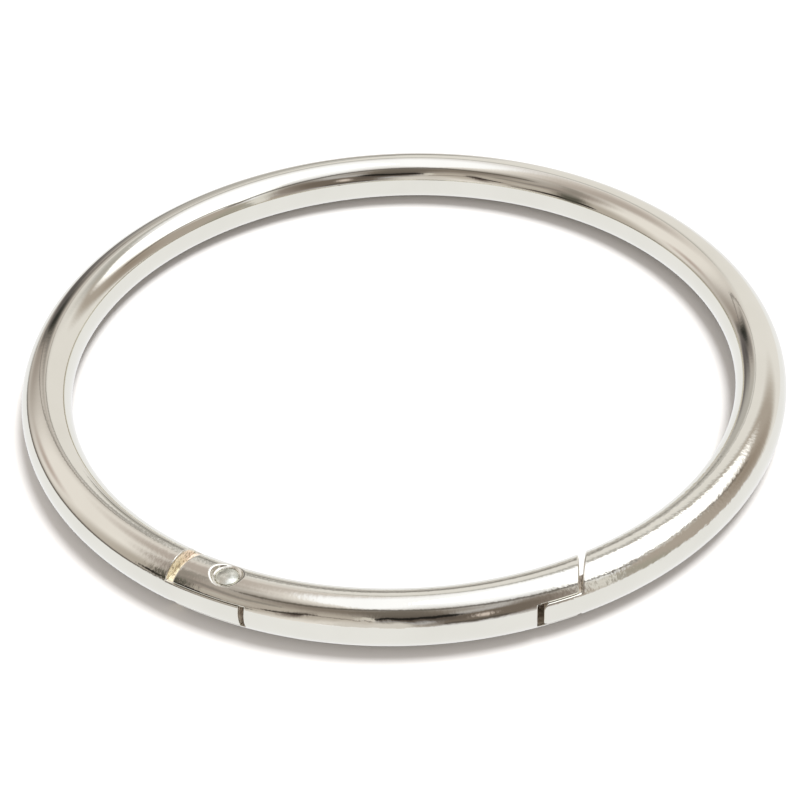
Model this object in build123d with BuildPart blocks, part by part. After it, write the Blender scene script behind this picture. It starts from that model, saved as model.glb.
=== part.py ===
from build123d import *
import os
from math import asin, cos, degrees, radians, sin

# Round spring-gate ring, lying flat. Sizes are in millimetres and degrees.
# The origin is the ring's centre, +Z is the ring's axis, and the gate's middle is on -Y.

# Ring
inner_diameter = 50.0
wire_diameter = 3.7

# Gate: the straight distance between its two ends, on the centreline
gate_chord = 25.4
end_edge_radius = 0.12

# Hinge, with lengths along the centreline from the pin
pin_to_tail = 2.93
hinge_gap = 0.8
tail_tilt = 12.0
tongue_reach = 1.53
tongue_end_gap = 0.36
tongue_thickness = 1.66
slot_side_gap = 0.06
swing_gap = 0.15
opening_stop = 42.0

# Pin, riveted flush in a shallow punch mark on each side of the gate
pin_diameter = 1.5
pin_running_gap = 0.05
pin_crown = 0.1
mark_depth = 0.33
mark_floor_diameter = 1.9
mark_wall_angle = 28.0

# Nose, with the gap, the tab's reach and its end gap measured along X
nose_gap = 0.32
nose_gap_angle = 5.0
tab_reach = 2.25
tab_end_gap = 0.42
tab_thickness = 1.78
tab_depth = 1.75
tab_floor_gap = 0.1
tab_corner_radius = 0.35

# Spring, and the pocket in the gate that holds it
spring_diameter = 1.5
spring_wire = 0.3
spring_length = 5.5
open_turns = 5
closed_turn_gap = 0.02
ground_share = 0.25
spring_offset = 0.8
spring_side_gap = 0.14

# Derived sizes
section_radius = wire_diameter / 2
ring_radius = inner_diameter / 2 + section_radius
cut_reach = 2 * wire_diameter
pocket_radius = spring_diameter / 2 + spring_side_gap


def arc_angle(length):
    """Angle at the ring's centre of a length along the centreline."""
    return degrees(length / ring_radius)


def chord_angle(half_chord):
    """Angle from the gate's middle of the point of the centreline at this X."""
    return degrees(asin(half_chord / ring_radius))


# Places along the centreline, as angles from the gate's middle, towards the nose
nose_angle = chord_angle(gate_chord / 2)
body_nose_angle = chord_angle(gate_chord / 2 + nose_gap)
tab_end_angle = chord_angle(gate_chord / 2 - tab_reach)
nose_slot_angle = chord_angle(gate_chord / 2 - tab_reach - tab_end_gap)
inside_body_angle = body_nose_angle + arc_angle(wire_diameter)
tail_angle = -nose_angle
shoulder_angle = tail_angle - arc_angle(hinge_gap)
pin_angle = tail_angle + arc_angle(pin_to_tail)
tongue_end_angle = pin_angle + arc_angle(tongue_reach)
hinge_slot_angle = tongue_end_angle + arc_angle(tongue_end_gap)

tab_inner_radius = ring_radius + section_radius - tab_depth
mark_floor_height = section_radius - mark_depth


def bearing(angle):
    """Unit vector in the plan, anticlockwise from +X."""
    return Vector(cos(radians(angle)), sin(radians(angle)), 0)


def on_ring(angle, offset=0.0):
    """Point at an angle from the gate's middle, offset outwards from the centreline."""
    return bearing(angle - 90) * (ring_radius + offset)


def radial_plane(angle):
    """Upright plane through the ring's axis: local x is outwards and local y is up."""
    return Plane(origin=(0, 0, 0), x_dir=bearing(angle - 90), z_dir=-bearing(angle))


def cut_line(angle, tilt=None):
    """Two plan points, inside and outside the ring, of a face that crosses the bar."""
    inwards = bearing(90 + angle if tilt is None else tilt)
    foot = on_ring(angle)
    reach = inwards * cut_reach
    return foot + reach, foot - reach


def plan_between(first, second):
    """Plan outline of the stretch of ring between two cut lines."""
    return Polygon(first[0], first[1], second[1], second[0], align=None)


def bar_section(angle):
    """Round section of the bar, standing on the centreline."""
    with BuildSketch(radial_plane(angle)) as section:
        with Locations((ring_radius, 0)):
            Circle(section_radius)
    return section.sketch


# Faces that cross the bar: the nose's are square to the chord, so that the gate slides past them
shoulder_line = cut_line(shoulder_angle)
tail_line = cut_line(tail_angle, 90 + tail_angle - tail_tilt)
tongue_end_line = cut_line(tongue_end_angle)
hinge_slot_line = cut_line(hinge_slot_angle)
nose_slot_line = cut_line(nose_slot_angle, 90)
tab_end_line = cut_line(tab_end_angle, 90)
gate_nose_line = cut_line(nose_angle, 90)
body_nose_line = cut_line(body_nose_angle, 90 - nose_gap_angle)
inside_body_line = cut_line(inside_body_angle)

# The gate turns about the pin until the tongue's end meets the web beside the hinge slot
pin_centre = on_ring(pin_angle)
tongue_corner = on_ring(tongue_end_angle, -section_radius)
swing_radius = (tongue_corner - pin_centre).length + swing_gap
tongue_distance = ring_radius * sin(radians(tongue_end_angle - pin_angle))
web_distance = ring_radius * sin(radians(hinge_slot_angle - pin_angle))
web_turn = radians(opening_stop + hinge_slot_angle - tongue_end_angle)
web_corner = (web_distance * cos(web_turn) - tongue_distance) / sin(web_turn)

# The spring stands on the tongue's end and points along the gate
spring_seat = on_ring(tongue_end_angle, -spring_offset)
spring_plane = Plane(spring_seat, x_dir=bearing(90 + tongue_end_angle), z_dir=bearing(tongue_end_angle))

# Fixed ring: the round bar from its nose round the back to the hinge shoulder
with BuildPart() as ring_body:
    revolve(bar_section(nose_angle), axis=Axis.Z, revolution_arc=360 + shoulder_angle - nose_angle)
    with BuildSketch():
        plan_between(nose_slot_line, body_nose_line)
    extrude(amount=wire_diameter, both=True, mode=Mode.SUBTRACT)
    nose_face = ring_body.faces().filter_by(GeomType.PLANE).sort_by(Axis.X)[-1]
    fillet(nose_face.edges(), end_edge_radius)

    # Hinge tongue: the bar thinned to a flat tongue in the mid-plane
    with BuildSketch(radial_plane(shoulder_angle)):
        with Locations((ring_radius, 0)):
            Circle(section_radius)
            Rectangle(wire_diameter, tongue_thickness, mode=Mode.INTERSECT)
    revolve(axis=Axis.Z, revolution_arc=tongue_end_angle - shoulder_angle)
    with Locations(pin_centre):
        Hole(pin_diameter / 2 + pin_running_gap)

    # Nose tab: the outer part of the bar, thinned in the mid-plane
    with BuildSketch(radial_plane(0)):
        with Locations((ring_radius, 0)):
            Circle(section_radius)
        with Locations((tab_inner_radius, 0)):
            Rectangle(wire_diameter, tab_thickness, align=(Align.MIN, Align.CENTER), mode=Mode.INTERSECT)
    revolve(axis=Axis.Z, revolution_arc=inside_body_angle)
    with BuildSketch():
        plan_between(tongue_end_line, tab_end_line)
    extrude(amount=wire_diameter, both=True, mode=Mode.SUBTRACT)
    tab_end = on_ring(tab_end_angle, section_radius - tab_depth / 2)
    tab_end_face = ring_body.faces().filter_by(GeomType.PLANE).sort_by_distance(tab_end)[0]
    tab_corners = tab_end_face.edges().filter_by(GeomType.LINE).sort_by(Axis.Z)
    fillet([tab_corners[0], tab_corners[-1]], tab_corner_radius)

# Gate: the bar between the hinge and the nose
with BuildPart() as gate:
    revolve(bar_section(shoulder_angle), axis=Axis.Z, revolution_arc=inside_body_angle - shoulder_angle)
    with BuildSketch():
        plan_between(tail_line, gate_nose_line)
    extrude(amount=wire_diameter, both=True, mode=Mode.INTERSECT)
    end_faces = gate.faces().filter_by(GeomType.PLANE)
    fillet(end_faces.edges(), end_edge_radius)

    # Fork over the hinge tongue, relieved on the inner side where the tongue's corner swings
    with BuildSketch():
        plan_between(shoulder_line, hinge_slot_line)
    with BuildSketch(Plane(pin_centre, x_dir=bearing(hinge_slot_angle), z_dir=(0, 0, 1))):
        Circle(swing_radius)
        with Locations((0, web_corner)):
            Rectangle(2 * swing_radius, 2 * swing_radius, align=(Align.CENTER, Align.MIN), mode=Mode.INTERSECT)
    extrude(amount=tongue_thickness / 2 + slot_side_gap, both=True, mode=Mode.SUBTRACT)

    # Slot that closes over the nose tab, open on the outer side
    with BuildSketch():
        plan_between(nose_slot_line, inside_body_line)
        Circle(tab_inner_radius - tab_floor_gap, mode=Mode.SUBTRACT)
    extrude(amount=tab_thickness / 2 + slot_side_gap, both=True, mode=Mode.SUBTRACT)

    # Spring pocket with a round floor, open on the inner side
    with BuildSketch(spring_plane):
        Circle(pocket_radius)
        Rectangle(wire_diameter, 2 * pocket_radius, align=(Align.MIN, Align.CENTER))
    extrude(amount=spring_length, mode=Mode.SUBTRACT)

    # Pin hole, with the riveting punch's mark at each mouth
    with Locations(pin_centre):
        Hole(pin_diameter / 2)
    for side in (1, -1):
        mark_floor = pin_centre + Vector(0, 0, side * mark_floor_height)
        with BuildSketch(Plane(origin=mark_floor, z_dir=(0, 0, side))):
            Circle(mark_floor_diameter / 2)
        extrude(amount=wire_diameter, taper=-mark_wall_angle, mode=Mode.SUBTRACT)

# Hinge pin, with crowned ends level with the punch marks' floors
crown_radius = ((pin_diameter / 2) ** 2 + pin_crown ** 2) / (2 * pin_crown)
with BuildPart() as hinge_pin:
    with BuildSketch(Plane(origin=pin_centre, x_dir=(1, 0, 0), z_dir=(0, -1, 0))):
        with BuildLine():
            Line((0, 0), (pin_diameter / 2, 0))
            Line((pin_diameter / 2, 0), (pin_diameter / 2, mark_floor_height))
            RadiusArc((pin_diameter / 2, mark_floor_height), (0, mark_floor_height + pin_crown), -crown_radius)
            Line((0, mark_floor_height + pin_crown), (0, 0))
        make_face()
    revolve(axis=Axis(pin_centre, (0, 0, 1)))
    mirror(about=Plane.XY)

# Gate spring: open turns between two closed ones, with both ends ground flat
coil_radius = (spring_diameter - spring_wire) / 2
closed_height = spring_wire + closed_turn_gap
ground_height = spring_wire * ground_share
open_height = spring_length - 2 * closed_height - 2 * ground_height
with BuildPart() as gate_spring:
    turn_start = ground_height
    for height, turns in ((closed_height, 1), (open_height, open_turns), (closed_height, 1)):
        turn_centre = spring_seat + spring_plane.z_dir * turn_start
        with BuildLine() as coil:
            Helix(height / turns, height, coil_radius, center=turn_centre, direction=spring_plane.z_dir)
        wire_start = coil.line @ 0
        outwards = wire_start - turn_centre
        with BuildSketch(Plane(origin=wire_start, x_dir=outwards, z_dir=spring_plane.z_dir.cross(outwards))):
            Circle(spring_wire / 2)
        sweep(path=coil.line, is_frenet=True)
        turn_start += height
    split(bisect_by=spring_plane, keep=Keep.TOP)
    split(bisect_by=spring_plane.offset(spring_length), keep=Keep.BOTTOM)

os.makedirs("parts", exist_ok=True)
ring_body.part.label = "ring_body"
export_step(ring_body.part, "parts/ring_body.step")
gate.part.label = "gate"
export_step(gate.part, "parts/gate.step")
hinge_pin.part.label = "hinge_pin"
export_step(hinge_pin.part, "parts/hinge_pin.step")
gate_spring.part.label = "gate_spring"
export_step(gate_spring.part, "parts/gate_spring.step")
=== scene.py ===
import math

import bpy
import numpy as np
from mathutils import Matrix, Vector


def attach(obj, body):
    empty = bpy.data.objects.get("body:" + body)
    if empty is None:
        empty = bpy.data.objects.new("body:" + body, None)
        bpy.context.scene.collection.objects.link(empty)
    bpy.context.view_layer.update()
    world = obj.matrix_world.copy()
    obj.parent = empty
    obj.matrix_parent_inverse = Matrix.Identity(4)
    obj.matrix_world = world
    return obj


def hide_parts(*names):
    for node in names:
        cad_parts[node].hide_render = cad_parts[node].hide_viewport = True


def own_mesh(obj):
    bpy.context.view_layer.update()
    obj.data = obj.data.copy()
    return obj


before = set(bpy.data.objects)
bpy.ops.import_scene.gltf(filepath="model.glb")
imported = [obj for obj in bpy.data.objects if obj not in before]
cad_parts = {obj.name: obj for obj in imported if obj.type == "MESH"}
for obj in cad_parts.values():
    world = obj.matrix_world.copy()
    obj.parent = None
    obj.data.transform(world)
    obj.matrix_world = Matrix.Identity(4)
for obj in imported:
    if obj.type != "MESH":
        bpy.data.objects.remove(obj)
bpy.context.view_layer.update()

# The round spring-gate ring, polished nickel, lying on a white floor.
# Shapes are worked out in millimetres in the shared frame and written to the meshes in metres.
# An angle along the ring is in degrees from the gate's middle, towards the nose.
MM = 0.001

# Sizes of the solids
ring_radius = 26.85
section_radius = 1.85
end_edge_radius = 0.12
half_chord = 12.7
pin_to_tail = 2.93
hinge_gap = 0.8
tail_tilt = 12.0
tongue_reach = 1.53
tongue_end_gap = 0.36
tongue_half = 0.83
slot_side_gap = 0.06
swing_gap = 0.15
opening_stop = 42.0
pin_radius = 0.75
pin_hole_radius = 0.8
pin_crown = 0.1
mark_floor_height = 1.52
mark_floor_radius = 0.95
mark_wall_angle = 28.0
nose_gap = 0.32
nose_gap_angle = 5.0
tab_reach = 2.25
tab_end_gap = 0.42
tab_half = 0.89
tab_inner_offset = 0.1
tab_floor_gap = 0.1
tab_corner_radius = 0.35
spring_radius = 0.75
spring_wire_radius = 0.15
spring_length = 5.5
spring_turns = 5
spring_offset = 0.8
spring_side_gap = 0.14

# Small forms that only these meshes have
slot_edge_radius = 0.06
arm_edge_radius = 0.07
fine_edge_radius = 0.05
hole_edge_radius = 0.03
mark_corner_radius = 0.07
mark_rim_radius = 0.11
groove_radius = 0.79
groove_depth = 0.07
groove_edge_radius = 0.02
pin_rim_radius = 0.04
arm_root = 1.0
outside = 9.0

# Fineness of the meshes
cell = 0.075
lattice_margin = 0.02
projections = 4
least_slope = 0.3
points_per_turn = 40


def arc_angle(length):
    """Angle at the ring's centre of a length along the centreline."""
    return math.degrees(length / ring_radius)


def chord_angle(reach):
    """Angle from the gate's middle of the centreline's point at this X."""
    return math.degrees(math.asin(reach / ring_radius))


nose_angle = chord_angle(half_chord)
body_nose_angle = chord_angle(half_chord + nose_gap)
tab_end_angle = chord_angle(half_chord - tab_reach)
nose_slot_angle = chord_angle(half_chord - tab_reach - tab_end_gap)
tail_angle = -nose_angle
shoulder_angle = tail_angle - arc_angle(hinge_gap)
pin_angle = tail_angle + arc_angle(pin_to_tail)
tongue_end_angle = pin_angle + arc_angle(tongue_reach)
hinge_slot_angle = tongue_end_angle + arc_angle(tongue_end_gap)


def bearing(angle):
    """Unit vector in the plan, anticlockwise from +X."""
    return np.array([math.cos(math.radians(angle)), math.sin(math.radians(angle))])


def on_ring(angle, offset=0.0):
    """Plan point at an angle from the gate's middle, offset outwards from the centreline."""
    return bearing(angle - 90) * (ring_radius + offset)


pin_centre = on_ring(pin_angle)
spring_seat = on_ring(tongue_end_angle, -spring_offset)
tongue_corner = on_ring(tongue_end_angle, -section_radius)
swing_radius = np.linalg.norm(tongue_corner - pin_centre) + swing_gap
web_turn = math.radians(opening_stop + hinge_slot_angle - tongue_end_angle)
web_corner = ring_radius * (
    math.sin(math.radians(hinge_slot_angle - pin_angle)) * math.cos(web_turn)
    - math.sin(math.radians(tongue_end_angle - pin_angle))
) / math.sin(web_turn)

# Unevenness of the plating: height, wavelength and seed all over, and in places also the number
# of waves, and the middle angle and the reach along the ring
overall_ripple = (0.0012, 7.0, 3)
local_ripples = (
    (0.0009, 2.2, 5, 14, 0.0, 42),
    (0.0006, 0.55, 8, 24, body_nose_angle, 9),
    (0.0004, 0.6, 9, 24, shoulder_angle, 6),
)
plating_inset = 0.0045

# Waviness of the gate's outer shoulder, which breaks up the dark line that it mirrors, with the
# middle and the reach in degrees along the ring and about the bar
wave_height, wavelength, wave_seed = 0.008, 1.1, 11
wave_along = (3, 20)
wave_about = (31, 15)


# Distance fields: below zero inside the metal
def beyond(p, angle, tilt=None):
    """How far a point lies past a cut line of the plan, towards the nose."""
    turn = math.radians(90 + angle if tilt is None else tilt)
    foot = on_ring(angle)
    return (p[:, 0] - foot[0]) * math.sin(turn) - (p[:, 1] - foot[1]) * math.cos(turn)


def both(a, b, radius):
    """Where two fields overlap, with their meeting edge rounded."""
    corner = np.hypot(np.maximum(radius + a, 0), np.maximum(radius + b, 0))
    return np.minimum(-radius, np.maximum(a, b)) + corner


def without(a, b, radius):
    """The first field with the second cut out, and the cut's edge rounded."""
    return both(a, -b, radius)


def ripple(p, wavelength, seed, waves=14):
    """Smooth unevenness between about -1 and 1."""
    rng = np.random.default_rng(seed)
    total = np.zeros(len(p))
    for _ in range(waves):
        way = rng.normal(size=3)
        way *= 2 * math.pi / wavelength / np.linalg.norm(way) * rng.uniform(0.75, 1.3)
        total += np.sin(p @ way + rng.uniform(0, 2 * math.pi))
    return total * math.sqrt(2 / waves) / 2


def angle_of(p):
    """Angle of a point from the gate's middle, towards the nose, from -180 to 180."""
    return np.degrees(np.arctan2(p[:, 0], -p[:, 1]))


def offset_of(p):
    """How far outwards of the centreline a point lies in the plan."""
    return np.hypot(p[:, 0], p[:, 1]) - ring_radius


def distance_to_pin(p):
    """Distance in the plan from the pin's axis."""
    return np.hypot(p[:, 0] - pin_centre[0], p[:, 1] - pin_centre[1])


def smooth_step(low, high, value):
    """0 at low, 1 at high, smooth between."""
    t = np.clip((value - low) / (high - low), 0, 1)
    return t * t * (3 - 2 * t)


def near(value, centre, reach):
    """1 at the centre, falling smoothly to 0 at the reach."""
    return smooth_step(0, 1, 1 - np.abs(value - centre) / reach)


def bar(p):
    """The round bar, with the slight unevenness of its plating."""
    offset = offset_of(p)
    smooth = np.hypot(offset, p[:, 2]) - section_radius
    a = angle_of(p)
    uneven = overall_ripple[0] * ripple(p, *overall_ripple[1:])
    for height, length, seed, waves, middle, reach in local_ripples:
        uneven += height * near(a, middle, reach) * ripple(p, length, seed, waves)
    facing = np.degrees(np.arctan2(p[:, 2], offset))
    wavy = wave_height * near(a, *wave_along) * near(facing, *wave_about)
    wavy *= ripple(p, wavelength, wave_seed)
    return smooth + plating_inset - np.abs(uneven) + wavy


def body_field(p):
    """The fixed ring with its hinge tongue and nose tab."""
    metal = bar(p)
    in_front = np.abs(angle_of(p)) < 90
    shoulder = beyond(p, shoulder_angle)
    nose = beyond(p, body_nose_angle, 90 - nose_gap_angle)
    nose_part = both(metal, -nose, end_edge_radius)
    tail_part = both(metal, shoulder, fine_edge_radius)
    main = np.where(in_front, np.minimum(nose_part, tail_part), metal)
    tongue = both(np.abs(p[:, 2]) - tongue_half, metal, fine_edge_radius)
    tongue = both(tongue, beyond(p, tongue_end_angle), arm_edge_radius)
    tongue = np.maximum(tongue, -shoulder - arm_root)
    tab_end = -beyond(p, tab_end_angle, 90)
    tab = both(np.abs(p[:, 2]) - tab_half, tab_end, tab_corner_radius)
    tab = both(tab, metal, arm_edge_radius)
    tab = both(tab, tab_inner_offset - offset_of(p), fine_edge_radius)
    tab = np.maximum(tab, nose - arm_root)
    arms = np.where(in_front, np.minimum(tongue, tab), outside)
    hole = distance_to_pin(p) - pin_hole_radius
    return without(np.minimum(main, arms), hole, hole_edge_radius)


def fork_slot(p):
    """The slot over the tongue, with room for the tongue's swing and the web that stops it."""
    relief = web_corner - (p[:, :2] - pin_centre) @ bearing(hinge_slot_angle + 90)
    relief = np.maximum(distance_to_pin(p) - swing_radius, relief)
    plan = np.minimum(beyond(p, hinge_slot_angle), relief)
    return np.maximum(np.abs(p[:, 2]) - tongue_half - slot_side_gap, plan)


def nose_slot(p):
    """The slot over the tab."""
    floor = tab_inner_offset - tab_floor_gap - offset_of(p)
    plan = np.maximum(-beyond(p, nose_slot_angle, 90), floor)
    return np.maximum(plan, np.abs(p[:, 2]) - tab_half - slot_side_gap)


def spring_pocket(p):
    """The round-backed pocket, open towards the ring's inside."""
    from_seat = p[:, :2] - spring_seat
    along = from_seat @ bearing(tongue_end_angle)
    inwards = from_seat @ bearing(tongue_end_angle + 90)
    pocket = np.hypot(np.minimum(inwards, 0), p[:, 2]) - spring_radius - spring_side_gap
    return np.maximum(pocket, np.maximum(-along, along - spring_length))


def punch_mark(p):
    """The flared marks of the riveting punch, above and below."""
    height = np.abs(p[:, 2])
    flare = math.radians(mark_wall_angle)
    wall = distance_to_pin(p) - mark_floor_radius - (height - mark_floor_height) * math.tan(flare)
    return both(wall * math.cos(flare), mark_floor_height - height, mark_corner_radius)


def pin_groove(p):
    """The fine groove between the pin's ends and the marks' floors."""
    below_floor = mark_floor_height - groove_depth - np.abs(p[:, 2])
    return np.maximum(distance_to_pin(p) - groove_radius, below_floor)


def gate_field(p):
    """The gate between its two end cuts, with all that is cut into it."""
    tail = -beyond(p, tail_angle, 90 + tail_angle - tail_tilt)
    metal = both(bar(p), tail, end_edge_radius)
    metal = both(metal, beyond(p, nose_angle, 90), end_edge_radius)
    metal = without(metal, fork_slot(p), slot_edge_radius)
    metal = without(metal, nose_slot(p), slot_edge_radius)
    metal = without(metal, spring_pocket(p), fine_edge_radius)
    metal = without(metal, punch_mark(p), mark_rim_radius)
    return without(metal, pin_groove(p), groove_edge_radius)


def slope(field, p, step=0.002):
    """The field's gradient."""
    out = np.empty_like(p)
    for axis in range(3):
        move = np.zeros(3)
        move[axis] = step
        out[:, axis] = (field(p + move) - field(p - move)) / (2 * step)
    return out


# Meshes
def make_mesh(name, points, faces, normals=None):
    """A smooth-shaded object from points in millimetres."""
    mesh = bpy.data.meshes.new(name)
    mesh.from_pydata((points * MM).tolist(), [], faces)
    mesh.polygons.foreach_set("use_smooth", [True] * len(mesh.polygons))
    if normals is not None:
        mesh.normals_split_custom_set_from_vertices(normals.tolist())
    piece = bpy.data.objects.new(name, mesh)
    bpy.context.scene.collection.objects.link(piece)
    return piece


def lattice(angles, tilts):
    """Points about the bar, in slices that lean with the cuts; tilts gives a slice's lean."""
    steps = int(math.ceil((section_radius + lattice_margin) / cell)) + 1
    across = (np.arange(2 * steps) - steps + 0.5) * cell
    a, u, v = np.meshgrid(angles, across, across, indexing="ij")
    lean = np.radians(a - 90 + tilts(a))
    turn = np.radians(a - 90)
    out = u / np.cos(lean - turn)
    x = ring_radius * np.cos(turn) + out * np.cos(lean)
    y = ring_radius * np.sin(turn) + out * np.sin(lean)
    return np.stack([x, y, v], -1)


def skin(name, field, angles, tilts):
    """The surface of a field as a fine mesh, with one vertex in each lattice cell it crosses."""
    points = lattice(angles, tilts)
    value = field(points.reshape(-1, 3)).reshape(points.shape[:3])
    inside = value < 0
    cells = tuple(n - 1 for n in value.shape)
    total = np.zeros(cells + (3,))
    count = np.zeros(cells)
    quads = []
    number = np.arange(np.prod(cells)).reshape(cells)
    for axis in range(3):
        low = [slice(None)] * 3
        high = [slice(None)] * 3
        low[axis], high[axis] = slice(0, -1), slice(1, None)
        crossed = np.argwhere(inside[tuple(low)] != inside[tuple(high)])
        i = tuple(crossed.T)
        other = crossed.copy()
        other[:, axis] += 1
        j = tuple(other.T)
        t = (value[i] / (value[i] - value[j]))[:, None]
        hit = points[i] * (1 - t) + points[j] * t
        side_a, side_b = [k for k in range(3) if k != axis]
        ring = []
        for da, db in ((0, 0), (-1, 0), (-1, -1), (0, -1)):
            c = crossed.copy()
            c[:, side_a] += da
            c[:, side_b] += db
            where = tuple(c.T)
            np.add.at(total, where, hit)
            np.add.at(count, where, 1)
            ring.append(number[where])
        ring = np.stack(ring, 1)
        flip = inside[i] if axis != 1 else ~inside[i]
        ring[flip] = ring[flip][:, ::-1]
        quads.append(ring)
    quads = np.concatenate(quads)
    used = np.flatnonzero(count.ravel())
    renumber = np.zeros(count.size, int)
    renumber[used] = np.arange(len(used))
    quads = renumber[quads]
    p = total.reshape(-1, 3)[used] / count.ravel()[used][:, None]
    for _ in range(projections):
        g = slope(field, p)
        p = p - field(p)[:, None] * g / np.maximum((g * g).sum(1), least_slope)[:, None]
    g = slope(field, p)
    normals = g / np.maximum(np.linalg.norm(g, axis=1), 1e-6)[:, None]
    corner = p[quads]
    facing = np.cross(corner[:, 2] - corner[:, 0], corner[:, 3] - corner[:, 1])
    if (facing * normals[quads].mean(1)).sum() < 0:
        quads = quads[:, ::-1]
    return make_mesh(name, p, quads.tolist(), normals)


def mark(piece, name, values):
    """A number for each vertex, read by the materials."""
    made = piece.data.attributes.new(name, "FLOAT", "POINT")
    made.data.foreach_set("value", values.astype(np.float32))


def places(piece):
    """The vertices' places in millimetres."""
    values = np.zeros(len(piece.data.vertices) * 3, np.float32)
    piece.data.vertices.foreach_get("co", values)
    return values.reshape(-1, 3).astype(float) / MM


# Materials. Noise scales are per metre.
plate_light = (0.79, 0.77, 0.695, 1)
plate_dark = (0.765, 0.745, 0.67, 1)
# Brown of the gaps: partly dirt, partly painted shade that deepens with the gap's depth
dirt_and_shade_dark = (0.4, 0.32, 0.24, 1)
dirt_and_shade_light = (0.7, 0.62, 0.52, 1)
brass_yellow = (0.9, 0.84, 0.64, 1)
brass_rose = (0.9, 0.78, 0.67, 1)
brass_dirt = (0.42, 0.35, 0.24, 1)


def principled(name, **values):
    material = bpy.data.materials.new(name)
    material.use_nodes = True
    tree = material.node_tree
    shader = tree.nodes["Principled BSDF"]
    for key, value in values.items():
        shader.inputs[key.replace("_", " ")].default_value = value
    return material, tree, shader


def put(tree, socket, source):
    """Links a socket to a source, or sets it to a constant."""
    if isinstance(source, bpy.types.NodeSocket):
        tree.links.new(source, socket)
    else:
        socket.default_value = source


def node(tree, kind, links=(), **settings):
    made = tree.nodes.new(kind)
    for key, value in settings.items():
        setattr(made, key, value)
    for socket, source in links:
        put(tree, made.inputs[socket], source)
    return made


def noise(tree, place, scale, detail=3.0, roughness=0.5):
    links = [("Vector", place), ("Scale", scale), ("Detail", detail), ("Roughness", roughness)]
    return node(tree, "ShaderNodeTexNoise", links).outputs["Fac"]


def remap(tree, value, came, goes):
    """Maps the range of values that came to another one, and clamps there."""
    links = [("Value", value), ("From Min", came[0]), ("From Max", came[1])]
    links += [("To Min", goes[0]), ("To Max", goes[1])]
    return node(tree, "ShaderNodeMapRange", links).outputs["Result"]


def math_node(tree, operation, first, second):
    links = [(0, first), (1, second)]
    return node(tree, "ShaderNodeMath", links, operation=operation).outputs[0]


def blend(tree, share, first, second):
    """The first colour, or the second one where the share is 1."""
    made = node(tree, "ShaderNodeMix", data_type="RGBA")
    for name, source in (("Factor", share), ("A", first), ("B", second)):
        put(tree, [s for s in made.inputs if s.name == name and s.enabled][0], source)
    return [s for s in made.outputs if s.enabled][0]


def attribute(tree, name, output="Fac"):
    return node(tree, "ShaderNodeAttribute", attribute_name=name).outputs[output]


def bump(tree, shader, strength, distance, height):
    links = [("Strength", strength), ("Distance", distance), ("Height", height)]
    made = node(tree, "ShaderNodeBump", links)
    tree.links.new(made.outputs["Normal"], shader.inputs["Normal"])


def nickel_material():
    """Bright nickel plate: brown dirt with painted shade in the gaps, darker and less metallic with
    depth, bare brass in the hinge slit, fine marks.
    """
    material, tree, shader = principled("polished_nickel")
    place = node(tree, "ShaderNodeTexCoord").outputs["Object"]
    gap_dirt_and_shade, brass = attribute(tree, "gap_dirt_and_shade"), attribute(tree, "brass")
    clouds = noise(tree, place, scale=260.0)
    colour = blend(tree, remap(tree, clouds, (0.35, 0.7), (0.0, 1.0)), plate_light, plate_dark)
    specks = noise(tree, place, scale=4200.0)
    # Dirt with painted shade in the gaps, blended in by the depth mask, in darker and lighter specks
    dirt_and_shade_colour = blend(tree, remap(tree, specks, (0.42, 0.6), (0.0, 1.0)), dirt_and_shade_dark, dirt_and_shade_light)
    colour = blend(tree, gap_dirt_and_shade, colour, dirt_and_shade_colour)
    bare = blend(tree, attribute(tree, "warmth"), brass_yellow, brass_rose)
    bare = blend(tree, remap(tree, specks, (0.4, 0.5), (0.85, 0.0)), bare, brass_dirt)
    colour = blend(tree, brass, colour, bare)
    tree.links.new(colour, shader.inputs["Base Color"])
    # The gaps are less metallic, which deepens the painted shade there
    metallic = remap(tree, gap_dirt_and_shade, (0.05, 0.6), (1.0, 0.1))
    tree.links.new(metallic, shader.inputs["Metallic"])
    wear = noise(tree, place, scale=420.0, detail=4.0)
    rough = remap(tree, wear, (0.3, 0.75), (0.02, 0.05))
    for share, rougher in ((gap_dirt_and_shade, 0.5), (brass, 0.32)):
        rough = math_node(tree, "ADD", rough, math_node(tree, "MULTIPLY", share, rougher))
    tree.links.new(rough, shader.inputs["Roughness"])
    marks = noise(tree, place, scale=3400.0)
    bump(tree, shader, strength=attribute(tree, "worked"), distance=0.000025, height=marks)
    return material


def steel_material(name, light, dark, roughness):
    """Duller steel, in patches."""
    material, tree, shader = principled(name, Metallic=1.0)
    place = node(tree, "ShaderNodeTexCoord").outputs["Object"]
    patches = noise(tree, place, scale=2400.0, detail=4.0, roughness=0.6)
    colour = blend(tree, remap(tree, patches, (0.35, 0.68), (0.0, 1.0)), light, dark)
    tree.links.new(colour, shader.inputs["Base Color"])
    rough = remap(tree, patches, (0.3, 0.7), (roughness * 0.7, roughness * 1.4))
    tree.links.new(rough, shader.inputs["Roughness"])
    dents = noise(tree, place, scale=3600.0, roughness=0.6)
    bump(tree, shader, strength=0.35, distance=0.00002, height=dents)
    return material


nickel = nickel_material()
pin_steel = steel_material("pin_steel", (0.86, 0.87, 0.79, 1), (0.5, 0.5, 0.43, 1), 0.24)
spring_steel = steel_material("spring_steel", (0.5, 0.49, 0.47, 1), (0.4, 0.39, 0.37, 1), 0.3)


# Fixed ring and gate. The slices of their lattices are close together at the cuts, and lean
# with them by these degrees.
def body_tilts(a):
    return np.interp(a, [22, 26, 29, 32, 40], [-22, -26, -34, -34, 0])


def gate_tilts(a):
    return np.interp(a, [-30, -27, -20, 8, 20, 32], [-12, -12, 0, 0, -20, -32])


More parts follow.
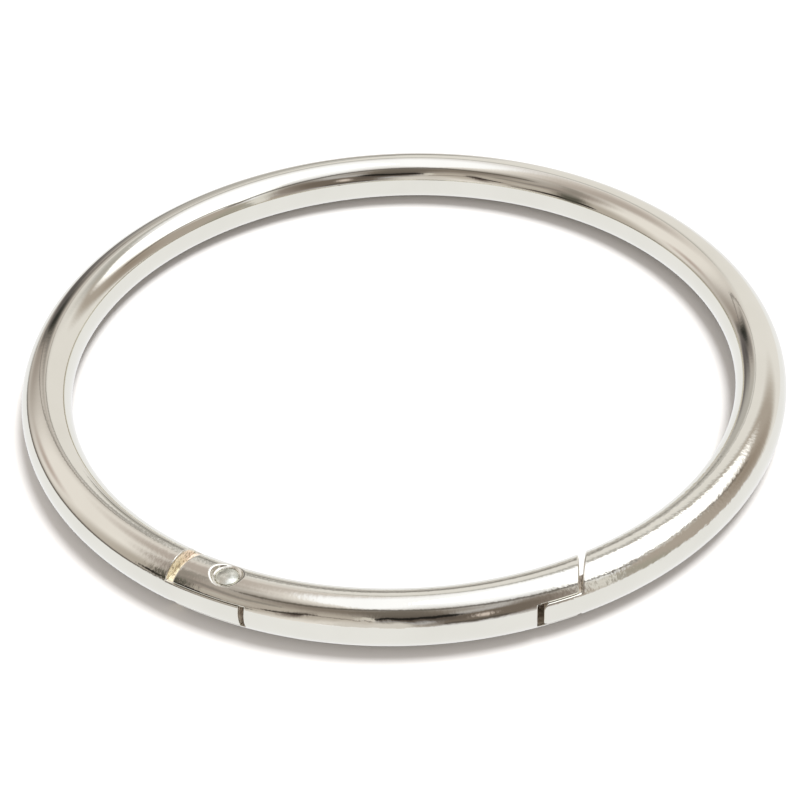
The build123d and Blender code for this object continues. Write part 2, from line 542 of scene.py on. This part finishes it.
body_angles = np.concatenate([
    np.arange(tab_end_angle - 0.6, body_nose_angle + 4.5, arc_angle(cell)),
    np.linspace(body_nose_angle + 4.6, 360 + shoulder_angle - 3.1, 240),
    np.arange(360 + shoulder_angle - 3.0, 360 + tongue_end_angle + 0.5, arc_angle(cell)),
])
gate_angles = np.concatenate([
    np.arange(tail_angle - 1.6, hinge_slot_angle + 3.0, arc_angle(cell)),
    np.linspace(hinge_slot_angle + 3.1, nose_slot_angle - 1.6, 110),
    np.arange(nose_slot_angle - 1.5, nose_angle + 3.5, arc_angle(cell)),
])
ring_body = skin("ring_body_polished", body_field, body_angles, body_tilts)
gate = skin("gate_polished", gate_field, gate_angles, gate_tilts)

# Their marks: brown dirt with painted shade by depth under the bar's surface, which darkens the gaps
# between parts, but not in the punch marks, bare brass on the ring beside the hinge slit, rosier
# towards the inside, and how worked the plating is, as strength, middle angle and reach
clean_radius, clean_height = 1.25, 1.25
dirt_and_shade_depths, most_dirt_and_shade = (0.06, 0.3), 0.8
brass_starts, brass_ends, brass_depths = (-0.06, 0.0), (0.5, 1.0), (0.1, 0.26)
brass_reach = 6
rosy_offsets = (0.6, -1.2)
least_worked = 0.06
worked_places = ((0.1, -5, 40), (0.75, 44, 34), (0.35, shoulder_angle, 8))
worked_depths = (0.05, 0.15)

for piece in (ring_body, gate):
    p = places(piece)
    a = angle_of(p)
    offset = offset_of(p)
    depth = section_radius - np.hypot(offset, p[:, 2])
    punched = (distance_to_pin(p) < clean_radius) & (np.abs(p[:, 2]) > clean_height)
    # Dirt with painted shade: darker and duller the deeper a point lies under the bar's surface
    mark(piece, "gap_dirt_and_shade", np.where(punched, 0.0, smooth_step(*dirt_and_shade_depths, depth) * most_dirt_and_shade))
    worked = np.full(len(p), least_worked)
    for strength, middle, reach in worked_places:
        worked += strength * near(a, middle, reach)
    mark(piece, "worked", worked * (1 - smooth_step(*worked_depths, depth)))
    past = beyond(p, shoulder_angle)
    brass = smooth_step(*brass_starts, past) * (1 - smooth_step(*brass_ends, past))
    brass *= smooth_step(*brass_depths, depth)
    brass *= np.abs(a - shoulder_angle) < brass_reach
    on_body = piece is ring_body
    mark(piece, "brass", brass * on_body)
    mark(piece, "warmth", smooth_step(*rosy_offsets, offset) * on_body)
    piece.data.materials.append(nickel)


# Hinge pin: riveted, crowned ends
def pin_profile():
    """Points of (radius, height) from the top's middle down the side to the bottom's middle."""
    first_radius, crown_steps, first_turn, rim_steps, side_top, side_steps = 0.05, 18, 0.3, 5, 1.3, 8
    peak = mark_floor_height + pin_crown
    crown = (pin_radius ** 2 + pin_crown ** 2) / (2 * pin_crown)
    top = [(0.0, peak)]
    for r in np.linspace(first_radius, pin_radius - pin_rim_radius, crown_steps):
        top.append((r, peak - crown + math.sqrt(crown ** 2 - r ** 2)))
    last = top[-1][1]
    for turn in np.linspace(first_turn, math.pi / 2, rim_steps):
        out = pin_radius - pin_rim_radius + pin_rim_radius * math.sin(turn)
        top.append((out, last - pin_rim_radius + pin_rim_radius * math.cos(turn)))
    side = [(pin_radius, h) for h in np.linspace(side_top, 0, side_steps)]
    half = top + side
    return half + [(r, -h) for r, h in reversed(half[:-1])]


def lathe(name, profile, centre, segments=96):
    """Turns a profile of (radius, height) points about an upright axis."""
    turn = np.arange(segments) * 2 * math.pi / segments
    points, rows = [], []
    for radius, height in profile:
        spread = turn if radius > 1e-6 else turn[:1]
        rows.append([len(points) + k for k in range(len(spread))])
        for t in spread:
            out = radius * np.array([math.cos(t), math.sin(t)])
            points.append((*(centre + out), height))
    faces = []
    for lower, upper in zip(rows[:-1], rows[1:]):
        for k in range(segments):
            n = (k + 1) % segments
            below = [lower[k], lower[n]] if len(lower) > 1 else lower
            above = [upper[n], upper[k]] if len(upper) > 1 else upper
            faces.append(below + above)
    return make_mesh(name, np.array(points), faces)


hinge_pin = lathe("hinge_pin_riveted", pin_profile()[::-1], pin_centre)
hinge_pin.data.materials.append(pin_steel)


# Gate spring: round wire, open turns between closed and ground ends
def tube(line, radius, sides=14):
    """Points and faces of a round wire along a line."""
    line = np.array(line)
    ahead = np.gradient(line, axis=0)
    ahead /= np.linalg.norm(ahead, axis=1)[:, None]
    side = np.cross(ahead[0], [0.0, 0.0, 1.0])
    points = []
    for centre, way in zip(line, ahead):
        side = side - way * (side @ way)
        side /= np.linalg.norm(side)
        up = np.cross(way, side)
        for k in range(sides):
            t = 2 * math.pi * k / sides
            points.append(centre + radius * (math.cos(t) * side + math.sin(t) * up))
    faces = []
    for i in range(len(line) - 1):
        near_row, far_row = i * sides, (i + 1) * sides
        for k in range(sides):
            n = (k + 1) % sides
            faces.append([near_row + k, near_row + n, far_row + n, far_row + k])
    faces.append(list(range(sides))[::-1])
    faces.append([(len(line) - 1) * sides + k for k in range(sides)])
    return np.array(points), faces


spring_way = np.append(bearing(tongue_end_angle), 0.0)
spring_side = np.append(bearing(tongue_end_angle + 90), 0.0)
upright = np.array([0, 0, 1.0])
seat = np.append(spring_seat, 0.0)
coil_radius = spring_radius - spring_wire_radius
closed_gap, end_gap = 0.02, 0.005
closed = 2 * spring_wire_radius + closed_gap
ground_off = spring_wire_radius / 2
open_length = spring_length - 2 * closed - 2 * ground_off
heights = np.cumsum([ground_off, closed, open_length, closed])
turns = np.cumsum([0, 1, spring_turns, 1])
line = []
for t in np.linspace(0, turns[-1], points_per_turn * int(turns[-1]) + 1):
    w = 2 * math.pi * t
    out = coil_radius * (math.cos(w) * spring_side + math.sin(w) * upright)
    line.append(seat + spring_way * np.interp(t, turns, heights) + out)
spring_points, spring_faces = tube(line, spring_wire_radius)
reach = (spring_points - seat) @ spring_way
ground_reach = np.clip(reach, end_gap, spring_length - end_gap)
spring_points += np.outer(ground_reach - reach, spring_way)
gate_spring = make_mesh("gate_spring_coil", spring_points, spring_faces)
gate_spring.data.materials.append(spring_steel)

for piece, body, cad_node, slot in (
    (ring_body, "ring", "ring_body", "nickel_plate"),
    (gate, "gate", "gate", "nickel_plate"),
    (hinge_pin, "gate", "hinge_pin", "pin_steel"),
    (gate_spring, "gate", "gate_spring", "spring_steel"),
):
    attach(piece, body)
    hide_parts(cad_node)
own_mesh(gate_spring)

# Studio: white paper under a dome of soft light. Azimuths run from +Y towards +X. A glow is what
# the metal sees of the paper, and shade_light is what the paper sees mirrored in the metal.
dome_radius = 400.0
dome_rings, dome_sides = 181, 600
wall_white = (0.96, 0.96, 0.96, 1)
paper_white = (0.93, 0.93, 0.93, 1)
floor_glow = (0.99, 1.0, 1.03, 1)
past_sheet_glow = (0.2, 0.18, 0.16, 1)
shade_light = (0.12, 0.105, 0.09, 1)
floor_rings = (0, 30, 45, 55, 62, 68, 74, 80, 90, 110, 150, 220, 300, dome_radius * 1.05)
floor_sides = 180
sheet_edge, sheet_azimuth, sheet_width = (62, 80), -89.0, 50
sky_tint, sky_strength = (1.0, 0.94, 0.885), 0.52
horizon_strength, horizon_heights = 1.5, (20, 34)
lamp_energy, lamp_angle, lamp_lean = 2.5, 25, (16, 10)
studio_base = (1.258, 1.282, 1.372)
# Cards that the metal mirrors: azimuth, elevation, half width, half height, roundness, softness,
# lean, colour, strength
panels = [
    (-169.3, 13.1, 19.5, 13.0, 3, 0.11, 0.49, (1.0, 0.96, 0.93), 0.789),
    (-81.7, 22.3, 88.6, 54.7, 3, 0.04, -0.33, (1.0, 0.96, 0.94), 0.976),
    (-142.4, 29.6, 39.0, 41.9, 2, 0.46, -1.06, (1.0, 0.91, 0.83), 0.555),
    (-111.0, 44.3, 14.7, 19.0, 2, 0.81, 1.23, (1.0, 0.87, 0.81), 0.465),
    (-69.2, 19.2, 8.5, 5.2, 2, 0.95, -0.11, (1.0, 0.85, 0.8), 0.598),
    (-120.1, 22.2, 6.3, 15.3, 2, 0.59, 0.17, (1.0, 0.9, 0.79), 0.180),
    (-48.7, 60.1, 30.2, 10.0, 3, 0.68, -1.75, (1.0, 0.89, 0.84), 0.572),
    (-70.2, -1.7, 43.4, 4.7, 4, 0.95, 2.99, (1.0, 0.9, 0.82), 0.312),
    (-36.1, 21.0, 18.9, 17.5, 2, 0.91, 0.93, (1.0, 0.88, 0.81), 0.402),
    (-32.3, 23.0, 3.7, 10.9, 2, 0.75, 0.66, (0.95, 1.0, 0.84), 0.036),
    (-26.1, 10.8, 13.4, 10.0, 2, 0.36, 0.03, (1.0, 0.91, 0.92), 0.148),
    (35.0, 29.4, 51.2, 25.4, 4, 0.15, 0.63, (1.0, 0.97, 0.94), 0.547),
    (34.6, 11.0, 34.0, 32.8, 4, 0.12, -0.69, (1.0, 0.98, 0.97), 0.927),
    (-2.2, 18.2, 1.9, 4.2, 2, 0.85, -0.36, (1.0, 0.96, 0.9), 0.463),
    (83.7, 24.8, 41.4, 28.6, 4, 0.21, -1.22, (1.0, 0.89, 0.8), 0.5),
    (70.9, 21.8, 11.4, 11.0, 2, 0.95, -0.34, (1.0, 0.84, 0.71), 0.372),
    (114.0, 6.4, 6.2, 23.0, 3, 0.93, 0.46, (1.0, 0.95, 0.83), 0.441),
    (127.6, 27.1, 4.9, 27.7, 4, 0.38, 0.07, (1.0, 0.98, 0.95), 0.860),
    (140.3, 28.2, 10.5, 24.4, 2, 0.42, -0.09, (1.0, 0.87, 0.79), 0.333),
    (155.9, 22.9, 15.6, 20.9, 3, 0.37, -0.28, (1.0, 0.83, 0.71), 0.202),
    (157.5, 25.0, 2.4, 6.0, 2, 0.78, -0.12, (1.0, 0.88, 0.82), 0.8),
    (174.7, 40.1, 11.9, 20.3, 3, 0.37, 0.11, (1.0, 0.82, 0.71), 0.123),
    (-154.4, 24.8, 2.4, 11.3, 2, 0.92, -0.11, (1.0, 0.75, 0.68), 0.123),
    (194.8, 56.3, 58.2, 11.4, 3, 0.95, 1.19, (1.0, 0.86, 0.75), 0.263),
    (44.7, 89.5, 52.8, 52.3, 4, 0.12, -0.73, (0.96, 0.97, 1.0), 1.9),
]
# Edges and folds of the cards: share, colour, strength, half width, softness, line of
# (azimuth, elevation)
folds = [
    (0.8, (1.0, 0.88, 0.77), 0.13, 3.0, 2.0, (
        (-126.4, 56), (-139.4, 60), (-154.4, 65), (-169.4, 68), (-184.4, 67), (-199.4, 64),
        (-210.4, 62), (-224.4, 54), (-237.4, 44), (-246.4, 35),
    )),
    (0.75, (1.0, 0.86, 0.74), 0.2, 2.6, 1.8, (
        (-244.4, 36), (-251.4, 40), (-262.4, 39), (-273.4, 37), (-284.4, 33), (-292.4, 31),
    )),
    (0.5, (1.0, 0.9, 0.8), 0.12, 8.0, 5.0, (
        (-178.4, 58), (-181.4, 44),
    )),
    (0.95, (1.0, 0.9, 0.8), 0.02, 4.0, 1.4, (
        (-178.4, 36), (-186.4, 34), (-193.4, 38),
    )),
    (0.8, (1.0, 0.96, 0.9), 0.8, 1.4, 1.0, (
        (-171.4, 38), (-172.4, 30),
    )),
    (0.8, (1.0, 0.98, 0.93), 0.5, 1.5, 1.0, (
        (-7.4, 45), (1.6, 48), (9.6, 49.5), (15.6, 50), (22.6, 48.5), (29.6, 46),
    )),
    (0.6, (1.0, 0.94, 0.86), 0.22, 3.5, 2.5, (
        (-122.4, 40), (-128.4, 38), (-135.4, 37), (-142.4, 40),
    )),
    (0.7, (1.0, 0.95, 0.88), 0.62, 4.0, 3.0, (
        (-132.4, 25), (-138.4, 24),
    )),
    (0.95, (1.0, 0.84, 0.7), 0.015, 4.0, 1.5, (
        (-116.4, 9), (-126.4, 11), (-134.4, 10),
    )),
    (0.8, (1.0, 0.9, 0.8), 0.2, 2.5, 1.2, (
        (-134.4, 9), (-142.4, 9),
    )),
    (0.6, (1.0, 0.86, 0.74), 0.2, 1.0, 0.8, (
        (-135.4, 10), (-142.4, 15), (-148.4, 20),
    )),
    (0.9, (1.0, 0.86, 0.74), 0.04, 2.0, 1.2, (
        (-148.4, 20), (-153.4, 26), (-156.4, 31),
    )),
    (0.7, (1.0, 0.86, 0.74), 0.15, 1.0, 0.8, (
        (-156.4, 30), (-164.4, 30), (-171.4, 26),
    )),
    (0.75, (1.0, 0.97, 0.78), 0.1, 3.0, 2.0, (
        (-122.4, 4), (-121.4, 16), (-119.4, 28),
    )),
    (0.5, (1.0, 0.95, 0.85), 0.28, 2.5, 2.0, (
        (-119.4, 28), (-113.4, 41), (-104.4, 52), (-92.4, 60),
    )),
    (0.75, (1.0, 0.9, 0.8), 0.1, 3.0, 2.0, (
        (-194.4, 9), (-206.4, 11),
    )),
    (0.7, (1.0, 0.95, 0.85), 0.33, 2.0, 1.5, (
        (-236.4, 3), (-237.4, 15),
    )),
    (0.85, (1.0, 0.96, 0.88), 0.2, 1.6, 1.2, (
        (-9.4, 12.5), (-4.4, 13.5), (0.6, 15),
    )),
    (0.8, (1.0, 0.93, 0.88), 0.22, 0.5, 0.5, (
        (-40.4, 8), (-37.4, 20), (-35.4, 31), (-31.4, 37), (-24.4, 39.5), (-17.4, 39.5),
        (-12.4, 37), (-8.4, 31), (-5.4, 23), (-3.4, 14),
    )),
    (0.5, (1.0, 0.95, 0.95), 0.1, 2.5, 2.0, (
        (-31.4, 16), (-28.4, 24), (-20.4, 31),
    )),
    (0.9, (1.0, 0.88, 0.8), 0.13, 1.6, 1.4, (
        (-54.4, -1), (-94.4, 0), (-126.4, 1),
    )),
]


def aside_of(azimuth, middle):
    """Degrees of azimuth from the middle, between -180 and 180."""
    return (azimuth - middle + 180) % 360 - 180


def away_from_line(azimuth, height, line):
    """Distance in degrees from a line drawn on the dome."""
    nearest = np.full(len(azimuth), np.inf)
    for (a, b), (c, d) in zip(line[:-1], line[1:]):
        scale = math.cos(math.radians((b + d) / 2))
        x, y = aside_of(azimuth, a) * scale, height - b
        u, v = (c - a) * scale, d - b
        t = np.clip((x * u + y * v) / (u * u + v * v), 0, 1)
        nearest = np.minimum(nearest, np.hypot(x - t * u, y - t * v))
    return nearest


def studio_light(azimuth, height):
    """What the metal sees of the dome: softbox, paper walls and the darker gaps between them."""
    light = np.ones((len(azimuth), 3)) * studio_base
    for about, middle, half_width, half_height, roundness, soft, lean, colour, strength in panels:
        up = np.abs(height - middle) / half_height
        aside = np.abs(aside_of(azimuth, about + lean * (height - middle))) / half_width
        away = (aside ** roundness + up ** roundness) ** (1 / roundness)
        share = (1 - smooth_step(1 - soft, 1 + soft, away))[:, None]
        light = light * (1 - share) + share * np.array(colour) * strength
    for most, colour, strength, half_width, soft, line in folds:
        away = away_from_line(azimuth, height, line)
        share = most * (1 - smooth_step(half_width - soft, half_width + soft, away))[:, None]
        light = light * (1 - share) + share * np.array(colour) * strength
    return light


def floor_light(height):
    """What the floor sees of the dome: soft light, brighter near the horizon."""
    light = sky_strength + horizon_strength * (1 - smooth_step(*horizon_heights, height))
    return np.array(sky_tint) * light[:, None]


def light_material(name):
    material = bpy.data.materials.new(name)
    material.use_nodes = True
    material.node_tree.nodes.clear()
    material.cycles.emission_sampling = "NONE"
    return material, material.node_tree


def after_paper(tree):
    """1 for what the paper sees mirrored in the metal, which is kept dim."""
    depth = node(tree, "ShaderNodeLightPath").outputs["Diffuse Depth"]
    return math_node(tree, "GREATER_THAN", depth, 0.5)


def around(reaches, heights, sides, turned):
    """Azimuths, points and quads of rings about the upright axis, which face out unless turned."""
    turn = np.tile(np.arange(sides) * 360.0 / sides, len(reaches))
    out, up = np.repeat(reaches, sides), np.repeat(heights, sides)
    x, y = out * np.sin(np.radians(turn)), out * np.cos(np.radians(turn))
    i = np.arange((len(reaches) - 1) * sides)
    n = i - i % sides + (i + 1) % sides
    corners = [i, i + sides, n + sides, n] if turned else [i, n, n + sides, i + sides]
    return turn, np.stack([x, y, up], 1), np.stack(corners, 1).tolist()


def dome():
    """The dome from the floor's height up, with both lights as vectors on its vertices."""
    low = -math.degrees(math.asin(section_radius / dome_radius))
    rise = np.linspace(low, 90, dome_rings + 1)
    reaches, heights = (dome_radius * f(np.radians(rise)) for f in (np.cos, np.sin))
    turn, points, quads = around(reaches, heights, dome_sides, False)
    made = make_mesh("studio_dome", points, quads)
    rise = np.repeat(rise, dome_sides)
    lights = (("glossy_light", studio_light(turn, rise)), ("diffuse_light", floor_light(rise)))
    for name, light in lights:
        values = made.data.attributes.new(name, "FLOAT_VECTOR", "POINT")
        values.data.foreach_set("vector", light.astype(np.float32).ravel())
    material, tree = light_material("studio_light")
    ray = node(tree, "ShaderNodeLightPath").outputs
    seen = attribute(tree, "glossy_light", "Color")
    lit = attribute(tree, "diffuse_light", "Color")
    seen = blend(tree, after_paper(tree), seen, shade_light)
    light = blend(tree, ray["Is Diffuse Ray"], seen, lit)
    light = blend(tree, ray["Is Camera Ray"], light, wall_white)
    shine = node(tree, "ShaderNodeEmission", [("Color", light)])
    node(tree, "ShaderNodeOutputMaterial", [("Surface", shine.outputs[0])])
    made.data.materials.append(material)
    return made


def ground():
    """White paper. What the metal sees of it darkens past the sheet's edge, on the left."""
    reaches = np.array(floor_rings)
    turn, points, quads = around(reaches, 0 * reaches, floor_sides, True)
    made = make_mesh("floor", points, quads)
    made.location.z = -section_radius * MM
    side = near(aside_of(turn, sheet_azimuth), 0, sheet_width)
    past = smooth_step(*sheet_edge, np.repeat(reaches, floor_sides)) * np.minimum(side * 2, 1)
    mark(made, "past_sheet", past)
    material, tree = light_material("floor_white")
    paper = node(tree, "ShaderNodeBsdfDiffuse", [("Color", paper_white)])
    seen = blend(tree, attribute(tree, "past_sheet"), floor_glow, past_sheet_glow)
    seen = blend(tree, after_paper(tree), seen, shade_light)
    glow = node(tree, "ShaderNodeEmission", [("Color", seen)])
    glossy = node(tree, "ShaderNodeLightPath").outputs["Is Glossy Ray"]
    links = [(0, glossy), (1, paper.outputs[0]), (2, glow.outputs[0])]
    surface = node(tree, "ShaderNodeMixShader", links)
    node(tree, "ShaderNodeOutputMaterial", [("Surface", surface.outputs[0])])
    made.data.materials.append(material)
    return made


def key_light():
    """A soft lamp over the back right, for the floor and its shadows alone."""
    lamp = bpy.data.lights.new("key_light", "SUN")
    lamp.energy = lamp_energy
    lamp.angle = math.radians(lamp_angle)
    made = bpy.data.objects.new("key_light", lamp)
    bpy.context.scene.collection.objects.link(made)
    towards = Vector([math.tan(math.radians(lean)) for lean in lamp_lean] + [1.0])
    made.rotation_euler = towards.to_track_quat("Z", "Y").to_euler()
    made.visible_glossy = False


stage_dome, stage_floor = dome(), ground()
stage_dome.visible_shadow = False
key_light()
bpy.context.scene.world = bpy.data.worlds.new("studio")

# Camera
camera_data = bpy.data.cameras.new("camera")
camera_data.lens = 78.45
camera_data.sensor_width = 36.0
camera_data.clip_start = 0.005
camera = bpy.data.objects.new("camera", camera_data)
bpy.context.scene.collection.objects.link(camera)
camera_place = Vector((8.06, -104.70, 81.17))
looked_at = Vector((0.07, -4.74, 0.0))
roll = math.radians(-2.4645)
forward = (looked_at - camera_place).normalized()
right = forward.cross(Vector((0, 0, 1))).normalized()
up = right.cross(forward)
turned_right = math.cos(roll) * right + math.sin(roll) * up
turned_up = math.cos(roll) * up - math.sin(roll) * right
facing = Matrix((turned_right, turned_up, -forward)).transposed().to_4x4()
camera.matrix_world = Matrix.Translation(camera_place * MM) @ facing
bpy.context.scene.camera = camera
bpy.context.scene.view_settings.view_transform = "Standard"

bpy.context.view_layer.update()
